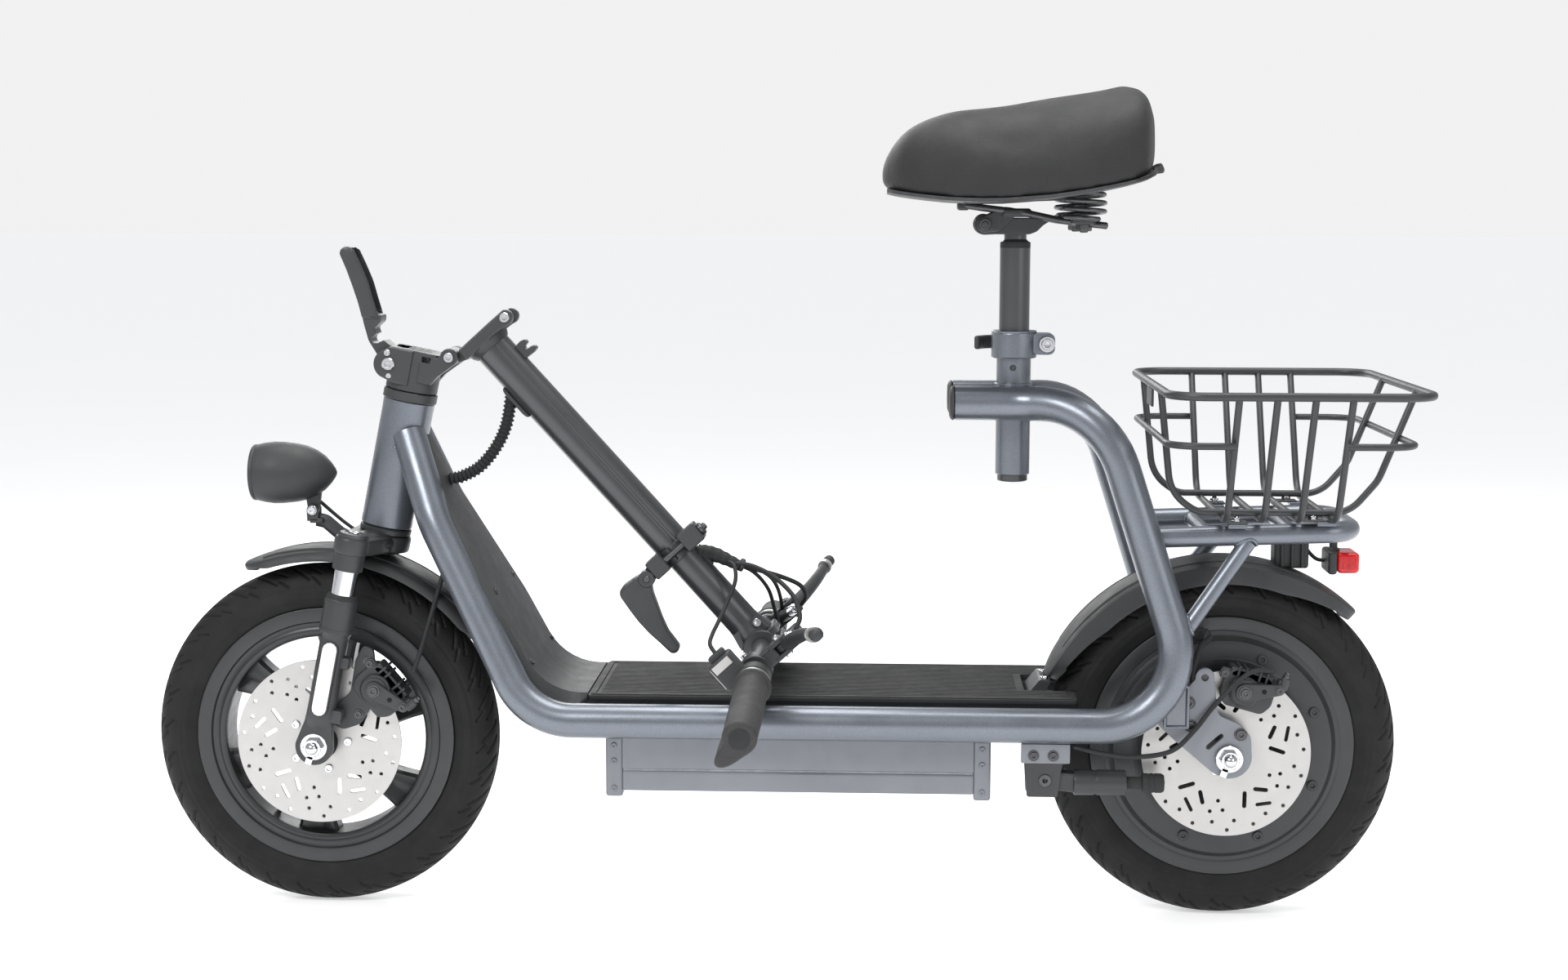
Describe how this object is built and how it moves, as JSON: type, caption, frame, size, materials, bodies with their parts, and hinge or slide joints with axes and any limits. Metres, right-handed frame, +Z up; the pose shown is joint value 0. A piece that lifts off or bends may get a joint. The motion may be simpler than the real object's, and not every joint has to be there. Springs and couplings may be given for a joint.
{
  "type": "folding seated electric scooter",
  "caption": "Folding seated electric scooter with its stem folded over the deck: sprung saddle, wire basket, pneumatic tyres, disc brakes, telescopic fork and stowed kickstand.",
  "frame": {"origin": "on the ground, centred under the scooter's length and width, midway between the axles", "axes": "+X to the rear, +Z up, -Y to the rider's left"},
  "size_m": [1.254, 0.65, 0.825],
  "materials": {
    "frame_paint": "satin metallic blue-grey paint",
    "black_metal": "satin black powder coat",
    "black_plastic": "fine-grained moulded plastic",
    "rim_paint": "dark grey satin paint on cast alloy",
    "tyre": "matt tyre rubber",
    "rubber": "matt soft rubber",
    "bright_steel": "ground disc steel",
    "chrome": "polished plating",
    "case_paint": "grey anodised extrusion",
    "vinyl": "dark grey vinyl cover",
    "red_lens": "red lens plastic",
    "clear_lens": "clear lens",
    "spring_steel": "dark spring steel"
  },
  "bodies": {
    "frame": {"head_tube": "frame_paint", "main_tube_left": "frame_paint", "main_tube_right": "frame_paint", "seat_tube": "frame_paint", "seat_collar": "black_metal", "rear_rack": "frame_paint", "deck_floor": "black_metal", "deck_mat": "rubber", "front_cover": "black_plastic", "battery_case": "case_paint", "battery_pack": "black_plastic", "rear_dropout_left": "case_paint", "rear_dropout_right": "case_paint", "rear_mudguard": "black_plastic", "rear_axle": "chrome", "rear_caliper": "black_metal", "rear_brake_cable": "rubber", "kickstand_bracket": "black_metal", "tail_light": "black_plastic", "tail_light_lens": "red_lens", "basket": "black_metal"},
    "steering": {"fork_crown": "black_metal", "hinge_base": "black_metal", "front_mudguard": "black_plastic", "cable_conduit": "black_plastic"},
    "fork_lower": {"fork_leg_left": "black_metal", "fork_leg_right": "black_metal", "front_axle": "chrome", "front_caliper": "black_metal", "front_brake_cable": "rubber"},
    "front_wheel": {"front_rim": "rim_paint", "front_tyre": "tyre", "front_brake_disc": "bright_steel"},
    "rear_wheel": {"rear_hub_motor": "rim_paint", "rear_tyre": "tyre", "rear_brake_disc": "bright_steel"},
    "headlight": {"headlight_shell": "black_plastic", "headlight_lens": "clear_lens"},
    "latch": {"latch_lever": "black_metal"},
    "stem": {"stem_foot": "black_metal", "stem_tube": "black_metal"},
    "clamp_lever": {"stem_clamp_lever": "black_metal"},
    "handlebar": {"inner_stem": "black_metal", "handlebar": "black_metal", "grip_left": "rubber", "grip_right": "rubber", "display": "black_plastic"},
    "brake_lever_left": {"brake_lever_left": "black_metal"},
    "brake_lever_right": {"brake_lever_right": "black_metal"},
    "throttle": {"throttle_lever": "black_plastic"},
    "seat": {"seat_post": "black_metal", "saddle_clamp": "black_metal"},
    "saddle_rails": {"saddle_rails": "black_metal", "saddle_spring_left": "spring_steel", "saddle_spring_right": "spring_steel"},
    "saddle": {"saddle_pan": "black_plastic", "saddle_cushion": "vinyl"},
    "seat_lever": {"seat_clamp_lever": "black_metal"},
    "kickstand": {"kickstand_leg": "black_metal"},
    "kickstand_foot": {"kickstand_foot": "black_metal"}
  },
  "joints": [
    {"name": "steering_turn", "type": "hinge", "parent": "frame", "child": "steering", "pos_m": [-0.39, 0, 0.3898], "axis": [0.1977, 0, 0.9803], "range_deg": [-14, 14], "deforming": ["front_brake_cable"]},
    {"name": "fork_travel", "type": "slide", "parent": "steering", "child": "fork_lower", "axis": [0.1977, 0, 0.9803], "range_m": [0, 0.01], "stiffness_N_per_m": 9000, "springref_m": -0.03},
    {"name": "front_wheel_spin", "type": "hinge", "parent": "fork_lower", "child": "front_wheel", "pos_m": [-0.452, 0, 0.175], "axis": [0, 1, 0], "continuous": true},
    {"name": "rear_wheel_spin", "type": "hinge", "parent": "frame", "child": "rear_wheel", "pos_m": [0.452, 0, 0.175], "axis": [0, 1, 0], "continuous": true},
    {"name": "headlight_tilt", "type": "hinge", "parent": "steering", "child": "headlight", "pos_m": [-0.464, 0, 0.404], "axis": [0, 1, 0], "range_deg": [-15, 15]},
    {"name": "latch_close", "type": "hinge", "parent": "steering", "child": "latch", "pos_m": [-0.37982, 0, 0.55362], "axis": [0, 1, 0], "range_deg": [0, 22]},
    {"name": "stem_fold", "type": "hinge", "parent": "steering", "child": "stem", "pos_m": [-0.31952, 0, 0.56023], "axis": [0, -1, 0], "range_deg": [0, 126.3], "deforming": ["cable_conduit"]},
    {"name": "clamp_lever_turn", "type": "hinge", "parent": "stem", "child": "clamp_lever", "pos_m": [-0.12291, -0.024, 0.34029], "axis": [0, 1, 0], "range_deg": [-22, 30]},
    {"name": "stem_extend", "type": "slide", "parent": "stem", "child": "handlebar", "axis": [0.673, 0, -0.7396], "range_m": [-0.03, 0.012]},
    {"name": "brake_left", "type": "hinge", "parent": "handlebar", "child": "brake_lever_left", "pos_m": [0.01697, -0.11, 0.2891], "axis": [0.673, 0, -0.7396], "range_deg": [0, 25], "stiffness_Nm_per_rad": 2, "springref_deg": -17.19},
    {"name": "brake_right", "type": "hinge", "parent": "handlebar", "child": "brake_lever_right", "pos_m": [0.01697, 0.11, 0.2891], "axis": [-0.673, 0, 0.7396], "range_deg": [0, 25], "stiffness_Nm_per_rad": 2, "springref_deg": -17.19},
    {"name": "throttle_push", "type": "hinge", "parent": "handlebar", "child": "throttle", "pos_m": [-0.00929, 0.15, 0.26155], "axis": [-0.0155, 0.9955, -0.0932], "range_deg": [0, 35], "stiffness_Nm_per_rad": 0.2, "springref_deg": -17.19},
    {"name": "seat_height", "type": "slide", "parent": "frame", "child": "seat", "axis": [0, 0, 1], "range_m": [-0.085, 0.06]},
    {"name": "seat_lever_open", "type": "hinge", "parent": "frame", "child": "seat_lever", "pos_m": [0.2726, 0.028, 0.576], "axis": [0, 0, -1], "range_deg": [0, 120]},
    {"name": "saddle_tilt", "type": "hinge", "parent": "seat", "child": "saddle_rails", "pos_m": [0.21, 0, 0.693], "axis": [0, -1, 0], "range_deg": [0, 12]},
    {"name": "saddle_bounce", "type": "hinge", "parent": "saddle_rails", "child": "saddle", "pos_m": [0.188, 0, 0.713], "axis": [0, 1, 0], "range_deg": [0, 3.5], "stiffness_Nm_per_rad": 400, "springref_deg": -1.72, "deforming": ["saddle_spring_left", "saddle_spring_right"]},
    {"name": "kickstand_swing", "type": "hinge", "parent": "frame", "child": "kickstand", "pos_m": [0.2715, -0.0865, 0.1566], "axis": [0, 1, 0], "range_deg": [0, 100]},
    {"name": "kickstand_extend", "type": "slide", "parent": "kickstand", "child": "kickstand_foot", "axis": [1, 0, 0], "range_m": [0, 0.025]}
  ]
}
